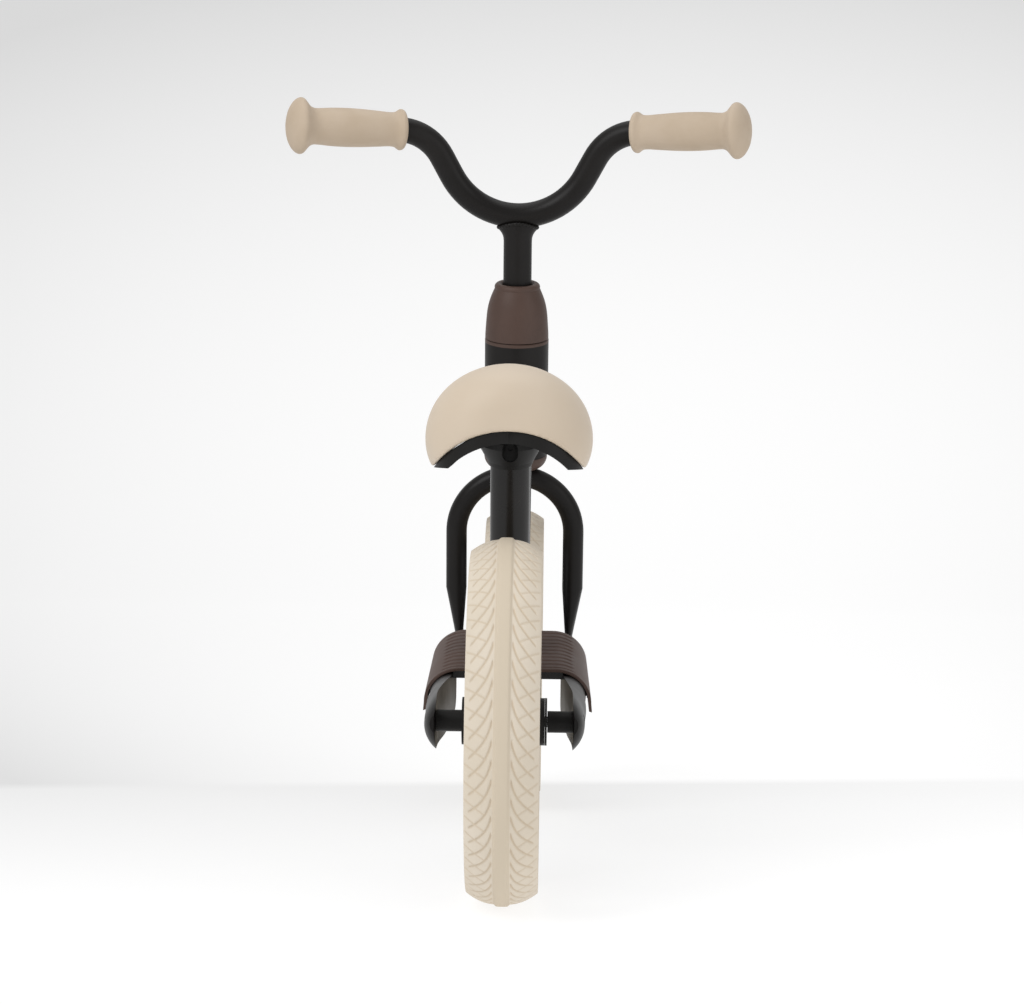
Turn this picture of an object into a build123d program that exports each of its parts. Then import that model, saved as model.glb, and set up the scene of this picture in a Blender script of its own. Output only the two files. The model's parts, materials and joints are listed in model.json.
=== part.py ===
from build123d import *
import os
from math import cos, radians, sin, tan

# Child's 12-inch balance bike. Millimetres. Origin on the ground midway between the
# axles, +X to the rider's right, +Y forwards, +Z up.

os.makedirs("parts", exist_ok=True)

# ---- driving dimensions --------------------------------------------------------------
WHEELBASE = 530.0
WHEEL_RADIUS = 137.5
TYRE_WIDTH = 53.4
TYRE_SHOULDER_RADIUS = 127.0
TYRE_INNER_RADIUS = 104.0

RIM_WIDTH = 38.0
RIM_WALL = 8.0
SPOKES = 6
SPOKE_WIDTH = 20.0
SPOKE_THICK = 16.0
HUB_RADIUS = 17.7
HUB_HALF = 30.0
HUB_CAP_RADIUS = 17.75
HUB_CAP_THICK = 1.6
BEARING_RADIUS = 11.0
BEARING_WIDTH = 7.0
AXLE_RADIUS = 4.0
SPACER_RADIUS = 8.1
RUNNING_GAP = 0.06
BODY_GAP = 0.3

RAKE = 14.5
HEAD_RADIUS = 28.8
HEAD_BOTTOM = 195.8
HEAD_TOP = 301.0
HEAD_WALL = 2.5
HEAD_SEAT = 12.0
HEAD_RING = 3.0
HEAD_BORE = 17.5
HEAD_BEARING_RADIUS = 22.0
HEAD_BEARING_WIDTH = 9.0
STEERER_RADIUS = 15.5
STEERER_TOP = 345.0
STEM_RADIUS = 12.7
STEM_FOOT = 225.0
DOME_TOP = 355.0

FORK_TUBE = 9.5
FORK_WALL = 1.8
FORK_HALF = 53.9
FORK_ARC = 120.3
FORK_TAPER_TOP = 66.0
FORK_TAPER_LOW = 20.0
FORK_BLADE = 7.0
FORK_BLADE_DEPTH = 26.0
FORK_BLADE_X = 51.0

BAR_RADIUS = 11.1
BAR_WALL = 1.8
BAR_CENTRE = 414.0
BAR_VEE = 341.3
BAR_RISE = 491.3
BAR_KNEE_X = 80.4
BAR_LOW_BEND = 67.0
BAR_HIGH_BEND = 46.0
BAR_SWEEP = 18.0
GRIP_LENGTH = 106.0
GRIP_INNER_X = 101.4

SEAT_LEAN = 18.0
SEAT_FOOT_Y = -64.0
SEAT_FOOT_Z = 140.0
SEAT_TUBE_RADIUS = 18.5
SEAT_TUBE_LENGTH = 118.0
POST_RADIUS = 15.9
POST_FOOT = 62.0
POST_TOP = 209.0
SOCKET_FOOT = 196.6

DECK_REAR = -120.0
DECK_FRONT = -25.0
DECK_Z = 160.0
DECK_SLOPE = 13.6
COVER_THICK = 2.4
COVER_HALF = 67.2
COVER_FRONT_HALF = 64.2
COVER_CORNER = 28.4
COVER_DROP = 33.0
DROPOUT_IN = 51.0
DROPOUT_FLOOR = 54.6

SADDLE_HALF = 64.0
SADDLE_HEIGHT = 56.0
SADDLE_CENTRE_Z = 349.0
ARCH_HALF = 57.8
ARCH_FOOT_Z = 325.0
ARCH_RISE = 29.0

AXLE_Y = WHEELBASE / 2

# ---- planes and axes -----------------------------------------------------------------
# The steering axis leans back by the rake and passes through the front axle; distances
# "along the steering axis" are measured upwards from that axle.
STEER = Plane(
    origin=(0, AXLE_Y, WHEEL_RADIUS),
    x_dir=(1, 0, 0),
    z_dir=(0, -sin(radians(RAKE)), cos(radians(RAKE))),
)
STEER_SIDE = Plane(origin=STEER.origin, x_dir=(1, 0, 0), z_dir=-STEER.y_dir)
STEER_AXIS = Axis(STEER.origin, STEER.z_dir)

SEAT = Plane(
    origin=(0, SEAT_FOOT_Y, SEAT_FOOT_Z),
    x_dir=(1, 0, 0),
    z_dir=(0, -sin(radians(SEAT_LEAN)), cos(radians(SEAT_LEAN))),
)
SEAT_SIDE = Plane(origin=SEAT.origin, x_dir=(1, 0, 0), z_dir=-SEAT.y_dir)
SEAT_AXIS = Axis(SEAT.origin, SEAT.z_dir)

DECK = Plane(
    origin=(0, DECK_REAR, DECK_Z),
    x_dir=(1, 0, 0),
    z_dir=(0, -cos(radians(DECK_SLOPE)), -sin(radians(DECK_SLOPE))),
)
DECK_LENGTH = (DECK_FRONT - DECK_REAR) / cos(radians(DECK_SLOPE))


def across(y):
    """A plane across the bike at y: sketch x is X and sketch y is Z."""
    return Plane(origin=(0, y, 0), x_dir=(1, 0, 0), z_dir=(0, -1, 0))


def wheel_plane(y):
    """A plane through a wheel's axle: sketch x is X and sketch y is the radius."""
    return Plane(origin=(0, y, WHEEL_RADIUS), x_dir=(1, 0, 0), z_dir=(0, -1, 0))


def facing_x(origin):
    """A plane that faces +X at a point: sketch x is Y and sketch y is Z."""
    return Plane(origin=origin, x_dir=(0, 1, 0), z_dir=(1, 0, 0))


def wheel_axis(y):
    return Axis((0, y, WHEEL_RADIUS), (1, 0, 0))


# ---- shared operations ---------------------------------------------------------------
def save(builder, name):
    builder.part.label = name
    export_step(builder.part, f"parts/{name}.step")


def turned(points, plane, axis):
    """Revolve a closed outline of (radius, height) points."""
    with BuildSketch(plane) as profile:
        with BuildLine():
            Polyline(*points, close=True)
        make_face()
    revolve(profile.sketch, axis=axis)


def tube(plane, low, high, outer, inner=0.0, mode=Mode.ADD):
    """A straight round tube along the plane's normal."""
    with BuildSketch(plane.offset(low)) as ring:
        Circle(outer)
        if inner:
            Circle(inner, mode=Mode.SUBTRACT)
    extrude(ring.sketch, amount=high - low, mode=mode)


def swept_pipe(path, plane, radius, wall):
    """A hollow round pipe along a path that starts at the plane."""
    for size, mode in ((radius, Mode.ADD), (radius - wall, Mode.SUBTRACT)):
        with BuildSketch(plane) as disc:
            Circle(size)
        sweep(disc.sketch, path=path, mode=mode)


def axle_rod(y, low_x, high_x, outer, inner=0.0, mode=Mode.ADD):
    """A rod or sleeve on a wheel's axle between two x positions."""
    tube(facing_x((0, y, WHEEL_RADIUS)), low_x, high_x, outer, inner, mode)


# ---- wheels --------------------------------------------------------------------------
def make_tyre(end, y):
    half = TYRE_WIDTH / 2
    bead_half = RIM_WIDTH / 2
    with BuildPart() as tyre:
        with BuildSketch(wheel_plane(y)):
            with BuildLine():
                ThreePointArc(
                    (-half, TYRE_SHOULDER_RADIUS), (0, WHEEL_RADIUS), (half, TYRE_SHOULDER_RADIUS)
                )
                Polyline(
                    (half, TYRE_SHOULDER_RADIUS),
                    (half, TYRE_INNER_RADIUS + 7),
                    (bead_half, TYRE_INNER_RADIUS),
                    (-bead_half, TYRE_INNER_RADIUS),
                    (-half, TYRE_INNER_RADIUS + 7),
                    (-half, TYRE_SHOULDER_RADIUS),
                )
            make_face()
        revolve(axis=wheel_axis(y))
    save(tyre, f"{end}_tyre")


def make_rim(end, y):
    half = RIM_WIDTH / 2
    floor = TYRE_INNER_RADIUS - RIM_WALL
    with BuildPart() as rim:
        turned(
            [
                (-half, TYRE_INNER_RADIUS),
                (half, TYRE_INNER_RADIUS),
                (half, floor + 4),
                (half - 4, floor),
                (4 - half, floor),
                (-half, floor + 4),
            ],
            wheel_plane(y),
            wheel_axis(y),
        )
        axle_rod(y, -HUB_HALF, HUB_HALF, HUB_RADIUS)
        with BuildSketch(facing_x((-SPOKE_THICK / 2, y, WHEEL_RADIUS))):
            with PolarLocations((floor + HUB_RADIUS) / 2, SPOKES, start_angle=90):
                Rectangle(floor - HUB_RADIUS + 6, SPOKE_WIDTH)
        extrude(amount=SPOKE_THICK)
        axle_rod(y, -HUB_HALF, HUB_HALF, 8.0, mode=Mode.SUBTRACT)
        for side in (-1, 1):
            seat = HUB_HALF - BEARING_WIDTH
            low, high = sorted((side * seat, side * HUB_HALF))
            axle_rod(y, low, high, BEARING_RADIUS, mode=Mode.SUBTRACT)
    save(rim, f"{end}_rim")


def make_hub(end, y):
    bore = AXLE_RADIUS + RUNNING_GAP
    seat = HUB_HALF - BEARING_WIDTH
    with BuildPart() as bearings:
        axle_rod(y, seat, HUB_HALF, BEARING_RADIUS, bore)
        mirror(about=Plane.YZ)
    save(bearings, f"{end}_bearings")

    with BuildPart() as sleeve:
        axle_rod(y, -seat + 0.1, seat - 0.1, 6.5, bore)
    save(sleeve, f"{end}_bearing_sleeve")

    with BuildPart() as caps:
        low = HUB_HALF + 0.1
        axle_rod(y, low, low + HUB_CAP_THICK, HUB_CAP_RADIUS, AXLE_RADIUS + 0.6)
        mirror(about=Plane.YZ)
    save(caps, f"{end}_hub_caps")


def make_axle(end, y, dropout_in, dropout_out):
    with BuildPart() as axle:
        axle_rod(y, -dropout_out, dropout_out, AXLE_RADIUS)
    save(axle, f"{end}_axle")

    cap_face = HUB_HALF + 0.1 + HUB_CAP_THICK
    with BuildPart() as spacers:
        axle_rod(y, cap_face + BODY_GAP, dropout_in, SPACER_RADIUS, AXLE_RADIUS)
        mirror(about=Plane.YZ)
    save(spacers, f"{end}_spacers")

    with BuildPart() as nuts:
        with BuildSketch(facing_x((dropout_out, y, WHEEL_RADIUS))):
            Circle(5.0)
        extrude(amount=3.4, taper=12)
        mirror(about=Plane.YZ)
    save(nuts, f"{end}_axle_bolts")


for wheel_end, wheel_y in (("front", AXLE_Y), ("rear", -AXLE_Y)):
    make_tyre(wheel_end, wheel_y)
    make_rim(wheel_end, wheel_y)
    make_hub(wheel_end, wheel_y)
make_axle("front", AXLE_Y, FORK_BLADE_X - FORK_BLADE / 2, FORK_BLADE_X + FORK_BLADE / 2)
make_axle("rear", -AXLE_Y, DROPOUT_IN, DROPOUT_FLOOR)

# ---- head tube and its bearings --------------------------------------------------------
with BuildPart() as head_tube:
    turned(
        [
            (HEAD_BEARING_RADIUS, HEAD_BOTTOM),
            (HEAD_RADIUS, HEAD_BOTTOM),
            (HEAD_RADIUS, HEAD_TOP),
            (HEAD_BEARING_RADIUS, HEAD_TOP),
            (HEAD_BEARING_RADIUS, HEAD_TOP - HEAD_BEARING_WIDTH),
            (HEAD_BORE, HEAD_TOP - HEAD_BEARING_WIDTH),
            (HEAD_BORE, HEAD_TOP - HEAD_SEAT),
            (HEAD_RADIUS - HEAD_WALL, HEAD_TOP - HEAD_SEAT),
            (HEAD_RADIUS - HEAD_WALL, HEAD_BOTTOM + HEAD_SEAT),
            (HEAD_BORE, HEAD_BOTTOM + HEAD_SEAT),
            (HEAD_BORE, HEAD_BOTTOM + HEAD_BEARING_WIDTH),
            (HEAD_BEARING_RADIUS, HEAD_BOTTOM + HEAD_BEARING_WIDTH),
        ],
        STEER_SIDE,
        STEER_AXIS,
    )
save(head_tube, "head_tube")

HEAD_BEARINGS = (
    ("lower_head_bearing", HEAD_BOTTOM),
    ("upper_head_bearing", HEAD_TOP - HEAD_BEARING_WIDTH),
)
for bearing_name, foot in HEAD_BEARINGS:
    with BuildPart() as head_bearing:
        top = foot + HEAD_BEARING_WIDTH
        tube(STEER, foot, top, HEAD_BEARING_RADIUS, STEERER_RADIUS + RUNNING_GAP)
    save(head_bearing, bearing_name)

with BuildPart() as head_ring:
    turned(
        [
            (HEAD_BORE, HEAD_TOP),
            (HEAD_RADIUS, HEAD_TOP),
            (HEAD_RADIUS, HEAD_TOP + HEAD_RING - 0.8),
            (HEAD_RADIUS - 0.8, HEAD_TOP + HEAD_RING),
            (HEAD_BORE, HEAD_TOP + HEAD_RING),
        ],
        STEER_SIDE,
        STEER_AXIS,
    )
save(head_ring, "head_ring")

# ---- seat tube, beam, rear arms and deck -------------------------------------------------
SLIT_WIDTH = 2.5
SLIT_DEPTH = 24.0
COLLAR_LOW = SEAT_TUBE_LENGTH - 18.0
with BuildPart() as seat_tube:
    tube(SEAT, -10, SEAT_TUBE_LENGTH, SEAT_TUBE_RADIUS, POST_RADIUS + RUNNING_GAP)
    with BuildSketch(SEAT.offset(SEAT_TUBE_LENGTH - SLIT_DEPTH)):
        with Locations((0, SEAT_TUBE_RADIUS)):
            Rectangle(SLIT_WIDTH, SEAT_TUBE_RADIUS)
    extrude(amount=SLIT_DEPTH, mode=Mode.SUBTRACT)
save(seat_tube, "seat_tube")

with BuildPart() as seat_collar:
    with BuildSketch(SEAT.offset(COLLAR_LOW)):
        Circle(SEAT_TUBE_RADIUS + 3.2)
        with Locations((0, SEAT_TUBE_RADIUS + 6)):
            RectangleRounded(17, 14, 3)
        Circle(SEAT_TUBE_RADIUS, mode=Mode.SUBTRACT)
        with Locations((0, SEAT_TUBE_RADIUS + 6)):
            Rectangle(SLIT_WIDTH, 20, mode=Mode.SUBTRACT)
    extrude(amount=16)
    bolt_centre = SEAT.offset(COLLAR_LOW + 8).location * Location((0, SEAT_TUBE_RADIUS + 8, 0))
    bolt_plane = Plane(origin=bolt_centre.position, x_dir=SEAT.z_dir, z_dir=(1, 0, 0))
    tube(bolt_plane, -20, 20, 2.5, mode=Mode.SUBTRACT)
save(seat_collar, "seat_collar")

with BuildPart() as seat_collar_bolt:
    tube(bolt_plane, -9, 9, 2.5)
    tube(bolt_plane, 8.5, 13, 4.3)
    tube(bolt_plane, -12, -8.5, 4.3)
    with BuildSketch(bolt_plane.offset(13)):
        RegularPolygon(2.3, 6)
    extrude(amount=-2.5, mode=Mode.SUBTRACT)
save(seat_collar_bolt, "seat_collar_bolt")

BEAM_WIDTH = 30.0
BEAM_DEPTH = 42.0
BEAM_WALL = 2.0
with BuildPart() as main_beam:
    with BuildLine(Plane.YZ) as beam_line:
        FilletPolyline((SEAT_FOOT_Y, 146), (24, 156), (205, 374), radius=150)
    beam_start = Plane(origin=beam_line.line @ 0, x_dir=(1, 0, 0), z_dir=beam_line.line % 0)
    for inset, beam_mode in ((0, Mode.ADD), (BEAM_WALL, Mode.SUBTRACT)):
        with BuildSketch(beam_start) as beam_section:
            RectangleRounded(
                BEAM_WIDTH - 2 * inset, BEAM_DEPTH - 2 * inset, BEAM_WIDTH / 2 - 0.5 - inset
            )
        sweep(beam_section.sketch, path=beam_line.line, mode=beam_mode)
    tube(STEER, HEAD_BOTTOM, HEAD_TOP, HEAD_RADIUS, mode=Mode.SUBTRACT)
    tube(SEAT, -40, SEAT_TUBE_LENGTH, SEAT_TUBE_RADIUS, mode=Mode.SUBTRACT)
save(main_beam, "main_beam")

# Rear arm: y, inner face x, outermost x, lowest z, highest z of each D-shaped section.
ARM_SECTIONS = (
    (-290.0, 52.0, 55.0, 131.0, 144.0),
    (-281.0, 51.0, 58.6, 121.0, 151.0),
    (-262.0, DROPOUT_IN, 60.2, 116.0, 156.0),
    (-225.0, 50.0, 61.0, 117.0, 158.0),
    (-165.0, 46.5, 62.0, 118.0, 158.0),
    (-115.0, 44.0, 62.6, 121.0, 158.0),
    (-70.0, 42.5, 60.3, 135.0, 168.0),
    (-28.0, 42.0, 56.5, 149.0, 179.0),
)
ARM_WALL = 2.5
POCKET_RADIUS = 5.8
SCREW_SPOTS = ((-98.0, 141.0), (-50.0, 151.0))
SCREW_RADIUS = 2.0
SCREW_HEAD_RADIUS = 3.6
SCREW_HEAD = 1.2
SCREW_FACE = 64.8


def screw_plane(spot):
    return facing_x((0, *spot))


def arm_face(section, inset=0.0):
    """One D-shaped section of the right arm: flat towards the wheel, bulging outwards."""
    arm_y, inner, outer, low, high = section
    flat_x = inner + inset
    low += 1.4 * inset
    high -= 1.4 * inset
    with BuildSketch(across(arm_y)) as face:
        with BuildLine():
            Line((flat_x, low), (flat_x, high))
            ThreePointArc((flat_x, high), (outer - inset, (low + high) / 2), (flat_x, low))
        make_face()
    return face.sketch


with BuildPart() as arm_block:
    loft([arm_face(section) for section in ARM_SECTIONS])

with BuildPart() as rear_arm_right:
    add(arm_block.part)
    loft([arm_face(section, ARM_WALL) for section in ARM_SECTIONS[3:]], mode=Mode.SUBTRACT)
    axle_rod(-AXLE_Y, 40, 80, AXLE_RADIUS, mode=Mode.SUBTRACT)
    axle_rod(-AXLE_Y, 40, DROPOUT_IN, SPACER_RADIUS, mode=Mode.SUBTRACT)
    axle_rod(-AXLE_Y, DROPOUT_FLOOR, 80, POCKET_RADIUS, mode=Mode.SUBTRACT)
    for screw_spot in SCREW_SPOTS:
        tube(screw_plane(screw_spot), 50, 80, SCREW_RADIUS, mode=Mode.SUBTRACT)
save(rear_arm_right, "rear_arm_right")

with BuildPart() as rear_arm_left:
    add(mirror(rear_arm_right.part, about=Plane.YZ, mode=Mode.PRIVATE))
save(rear_arm_left, "rear_arm_left")

DECK_HALF = 44.0
DECK_LOWER = 1.7
DECK_SHEET = 2.5
DECK_FLANGE = 6.0
DECK_INSET = 5.0
with BuildPart() as deck_plate:
    with BuildSketch(DECK.offset(-DECK_INSET)):
        with Locations((0, -DECK_LOWER - DECK_SHEET / 2)):
            Rectangle(2 * DECK_HALF, DECK_SHEET)
    extrude(amount=-(DECK_LENGTH - 2 * DECK_INSET))
    for flange_at in (DECK_INSET, DECK_LENGTH - DECK_INSET - DECK_SHEET):
        with BuildSketch(DECK.offset(-flange_at)):
            with Locations((0, -DECK_LOWER - DECK_FLANGE / 2)):
                Rectangle(2 * DECK_HALF, DECK_FLANGE)
        extrude(amount=-DECK_SHEET)
    add(arm_block.part, mode=Mode.SUBTRACT)
    add(mirror(arm_block.part, about=Plane.YZ, mode=Mode.PRIVATE), mode=Mode.SUBTRACT)
    tube(SEAT, -40, SEAT_TUBE_LENGTH, SEAT_TUBE_RADIUS, mode=Mode.SUBTRACT)
save(deck_plate, "deck_plate")

COVER_SLOT = 21.0


def cover_outline(plane, half, top, drop, corner):
    """The cover's arched section, filled down to its lips or a little past them."""
    with BuildSketch(plane) as outline:
        with BuildLine():
            FilletPolyline(
                (-half - 0.6, -drop), (-half, top), (half, top), (half + 0.6, -drop), radius=corner
            )
            Line((half + 0.6, -drop), (-half - 0.6, -drop))
        make_face()
    return outline.sketch


with BuildPart() as footrest_cover:
    for skin, drop, past, cover_mode in ((0, 0, 0, Mode.ADD), (COVER_THICK, 1, 1, Mode.SUBTRACT)):
        ends = [
            cover_outline(
                DECK.offset(along),
                half - skin,
                COVER_THICK - skin + 0.05,
                COVER_DROP + drop,
                COVER_CORNER - skin,
            )
            for along, half in ((past, COVER_HALF), (-DECK_LENGTH - past, COVER_FRONT_HALF))
        ]
        loft(ends, mode=cover_mode)
    with BuildSketch(Plane.XY.offset(DECK_Z - 20)):
        with Locations((0, SEAT_FOOT_Y - 10)):
            Circle(COVER_SLOT)
        with Locations((0, SEAT_FOOT_Y - 10 + 50)):
            Rectangle(2 * COVER_SLOT, 100)
    extrude(amount=80, mode=Mode.SUBTRACT)
    for screw_spot in SCREW_SPOTS:
        tube(screw_plane(screw_spot), -80, 80, SCREW_RADIUS, mode=Mode.SUBTRACT)
        for side in (1, -1):
            low, high = sorted((side * (SCREW_FACE - SCREW_HEAD), side * 80))
            tube(screw_plane(screw_spot), low, high, SCREW_HEAD_RADIUS, mode=Mode.SUBTRACT)
save(footrest_cover, "footrest_cover")

with BuildPart() as footrest_screws:
    for screw_spot in SCREW_SPOTS:
        tube(screw_plane(screw_spot), 50, SCREW_FACE - SCREW_HEAD, SCREW_RADIUS)
        tube(screw_plane(screw_spot), SCREW_FACE - SCREW_HEAD, SCREW_FACE, SCREW_HEAD_RADIUS)
    mirror(about=Plane.YZ)
save(footrest_screws, "footrest_screws")

# ---- fork ------------------------------------------------------------------------------
LUG_FOOT = 170.0
LUG_TOP = 184.0
with BuildPart() as fork_legs:
    with BuildLine(STEER_SIDE) as leg_line:
        CenterArc((0, FORK_ARC), FORK_HALF, 90, -90)
        Line((FORK_HALF, FORK_ARC), (FORK_HALF, FORK_TAPER_TOP))
    swept_pipe(leg_line.line, facing_x(leg_line.line @ 0), FORK_TUBE, FORK_WALL)
    with BuildSketch(STEER.offset(FORK_TAPER_TOP)):
        with Locations((FORK_HALF, 0)):
            Circle(FORK_TUBE)
    with BuildSketch(STEER.offset(FORK_TAPER_LOW)):
        with Locations((FORK_BLADE_X, 0)):
            Ellipse(FORK_BLADE / 2, FORK_BLADE_DEPTH / 2)
    loft()
    blade_plane = Plane(
        origin=STEER.from_local_coords(Vector(FORK_BLADE_X, 0, 0)),
        x_dir=STEER.y_dir,
        z_dir=(1, 0, 0),
    )
    with BuildSketch(blade_plane):
        Circle(FORK_BLADE_DEPTH / 2)
        with Locations((0, FORK_TAPER_LOW / 2)):
            Rectangle(FORK_BLADE_DEPTH, FORK_TAPER_LOW)
    extrude(amount=FORK_BLADE / 2, both=True)
    axle_rod(AXLE_Y, 0, 100, AXLE_RADIUS, mode=Mode.SUBTRACT)
    mirror(about=Plane.YZ)
    tube(STEER, LUG_FOOT, LUG_TOP, STEERER_RADIUS)
save(fork_legs, "fork_legs")

STEERER_BORE = STEM_RADIUS + RUNNING_GAP
with BuildPart() as steerer_tube:
    tube(STEER, LUG_TOP, STEERER_TOP, STEERER_RADIUS, STEERER_BORE)
save(steerer_tube, "steerer_tube")

RACE_FOOT = 187.0
BOWL_FOOT = 182.5
with BuildPart() as crown_race:
    tube(STEER, RACE_FOOT, HEAD_BOTTOM - BODY_GAP, 21.0, STEERER_RADIUS)
save(crown_race, "crown_race")

with BuildPart() as lower_head_cover:
    with BuildSketch(STEER_SIDE):
        with BuildLine():
            Line((STEERER_RADIUS, RACE_FOOT - 0.2), (STEERER_RADIUS, BOWL_FOOT))
            Line((STEERER_RADIUS, BOWL_FOOT), (19.5, BOWL_FOOT))
            ThreePointArc(
                (19.5, BOWL_FOOT), (26.6, 187.5), (HEAD_RADIUS - 0.1, HEAD_BOTTOM - BODY_GAP)
            )
            Line(
                (HEAD_RADIUS - 0.1, HEAD_BOTTOM - BODY_GAP),
                (HEAD_RADIUS - 2.6, HEAD_BOTTOM - BODY_GAP),
            )
            Line((HEAD_RADIUS - 2.6, HEAD_BOTTOM - BODY_GAP), (22.0, RACE_FOOT - 0.2))
            Line((22.0, RACE_FOOT - 0.2), (STEERER_RADIUS, RACE_FOOT - 0.2))
        make_face()
    revolve(axis=STEER_AXIS)
save(lower_head_cover, "lower_head_cover")

DOME_FOOT = HEAD_TOP + HEAD_RING + 0.8
DOME_MOUTH = STEM_RADIUS + 0.9
with BuildPart() as upper_head_cover:
    with BuildSketch(STEER_SIDE):
        with BuildLine():
            Spline(
                (HEAD_RADIUS - 0.2, DOME_FOOT),
                (28.0, 317.0),
                (27.0, 328.5),
                (24.6, 339.5),
                (20.3, 350.2),
                tangents=((0, 1), (-0.45, 1)),
            )
            ThreePointArc((20.3, 350.2), (17.4, DOME_TOP), (DOME_MOUTH, 353.0))
            Line((DOME_MOUTH, 353.0), (DOME_MOUTH, 347.5))
            Line((DOME_MOUTH, 347.5), (18.0, 346.0))
            Spline(
                (18.0, 346.0), (22.0, 336.0), (25.2, DOME_FOOT), tangents=((0.5, -1), (0, -1))
            )
            Line((25.2, DOME_FOOT), (HEAD_RADIUS - 0.2, DOME_FOOT))
        make_face()
    revolve(axis=STEER_AXIS)
save(upper_head_cover, "upper_head_cover")

CLAMP_FOOT = HEAD_TOP + HEAD_RING + 3.0
CLAMP_HEIGHT = 14.0
with BuildPart() as steerer_clamp:
    with BuildSketch(STEER.offset(CLAMP_FOOT)):
        Circle(STEERER_RADIUS + 3.0)
        with Locations((0, STEERER_RADIUS + 4)):
            Rectangle(13, 6)
        Circle(STEERER_RADIUS, mode=Mode.SUBTRACT)
        with Locations((0, STEERER_RADIUS + 4)):
            Rectangle(2, 9, mode=Mode.SUBTRACT)
    extrude(amount=CLAMP_HEIGHT)
    clamp_centre = STEER.offset(CLAMP_FOOT + CLAMP_HEIGHT / 2).location * Location(
        (0, STEERER_RADIUS + 4.6, 0)
    )
    clamp_plane = Plane(origin=clamp_centre.position, x_dir=STEER.z_dir, z_dir=(1, 0, 0))
    tube(clamp_plane, -20, 20, 1.9, mode=Mode.SUBTRACT)
save(steerer_clamp, "steerer_clamp")

with BuildPart() as steerer_clamp_bolt:
    tube(clamp_plane, -8, 8, 1.9)
save(steerer_clamp_bolt, "steerer_clamp_bolt")

# ---- handlebar ---------------------------------------------------------------------------
GRIP_REACH = GRIP_INNER_X + GRIP_LENGTH * cos(radians(BAR_SWEEP)) - BAR_KNEE_X
END_INSET = 7.0
BAR_END = Vector(
    BAR_KNEE_X + GRIP_REACH - END_INSET * cos(radians(BAR_SWEEP)),
    -(GRIP_REACH - END_INSET * cos(radians(BAR_SWEEP))) * tan(radians(BAR_SWEEP)),
)


def bar_point(x, along, back=0.0):
    """A point at x, a distance along the steering axis, moved back along -Y."""
    return STEER.from_local_coords(Vector(x, 0, along)) + Vector(0, back, 0)


with BuildPart() as handlebar:
    with BuildLine() as bar_line:
        FilletPolyline(
            bar_point(-BAR_END.X, BAR_RISE, BAR_END.Y),
            bar_point(-BAR_KNEE_X, BAR_RISE),
            bar_point(0, BAR_VEE),
            bar_point(BAR_KNEE_X, BAR_RISE),
            bar_point(BAR_END.X, BAR_RISE, BAR_END.Y),
            radius=(BAR_HIGH_BEND, BAR_LOW_BEND, BAR_HIGH_BEND),
        )
    bar_start = Plane(origin=bar_line.line @ 0, z_dir=bar_line.line % 0)
    swept_pipe(bar_line.line, bar_start, BAR_RADIUS, BAR_WALL)
save(handlebar, "handlebar")

with BuildPart() as bar_core:
    tube(facing_x(bar_point(0, BAR_CENTRE)), -20, 20, BAR_RADIUS)

FLARE_FOOT = 398.0
with BuildPart() as stem:
    turned(
        [
            (STEM_RADIUS - 2, STEM_FOOT),
            (STEM_RADIUS, STEM_FOOT),
            (STEM_RADIUS, FLARE_FOOT),
            (STEM_RADIUS + 0.6, FLARE_FOOT + 4),
            (STEM_RADIUS + 0.6, BAR_CENTRE - 6),
            (STEM_RADIUS - 2, BAR_CENTRE - 6),
        ],
        STEER_SIDE,
        STEER_AXIS,
    )
    add(handlebar.part, mode=Mode.SUBTRACT)
    add(bar_core.part, mode=Mode.SUBTRACT)
save(stem, "stem")

# Grip outline: distance outwards from the inner end, radius.
GRIP_PROFILE = (
    (1.2, 17.4),
    (4.2, 18.0),
    (7.6, 15.7),
    (11.4, 15.0),
    (37.0, 16.6),
    (60.0, 16.9),
    (79.0, 16.0),
    (84.6, 16.9),
    (89.4, 22.0),
    (93.4, 24.7),
    (98.9, 22.5),
    (102.9, 16.5),
)


def make_grip(side, name):
    sweep_back = radians(BAR_SWEEP)
    direction = Vector(side * cos(sweep_back), -sin(sweep_back), 0)
    inner_back = -(GRIP_INNER_X - BAR_KNEE_X) * tan(sweep_back)
    start = bar_point(side * GRIP_INNER_X, BAR_RISE, inner_back)
    grip_plane = Plane(origin=start, x_dir=direction, z_dir=(0, 0, 1))
    with BuildPart() as grip:
        with BuildSketch(grip_plane):
            with BuildLine():
                Line((0, 0), (0, 16.0))
                Line((0, 16.0), GRIP_PROFILE[0])
                Spline(*GRIP_PROFILE)
                ThreePointArc(GRIP_PROFILE[-1], (GRIP_LENGTH - 0.8, 10.0), (GRIP_LENGTH, 4.0))
                Polyline((GRIP_LENGTH, 4.0), (GRIP_LENGTH, 0), (0, 0))
            make_face()
        revolve(axis=Axis(start, direction))
        bore_plane = Plane(origin=start, z_dir=direction)
        tube(bore_plane, -1, GRIP_LENGTH - END_INSET, BAR_RADIUS, mode=Mode.SUBTRACT)
    save(grip, name)


make_grip(-1, "grip_left")
make_grip(1, "grip_right")

# ---- saddle and its post -----------------------------------------------------------------
with BuildPart() as seat_post:
    tube(SEAT, POST_FOOT, POST_TOP, POST_RADIUS, POST_RADIUS - 2)
save(seat_post, "seat_post")

with BuildPart() as post_plug:
    tube(SEAT, POST_FOOT - 3, POST_FOOT, POST_RADIUS - 0.3)
    tube(SEAT, POST_FOOT, POST_FOOT + 12, POST_RADIUS - 2)
save(post_plug, "post_plug")

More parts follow.
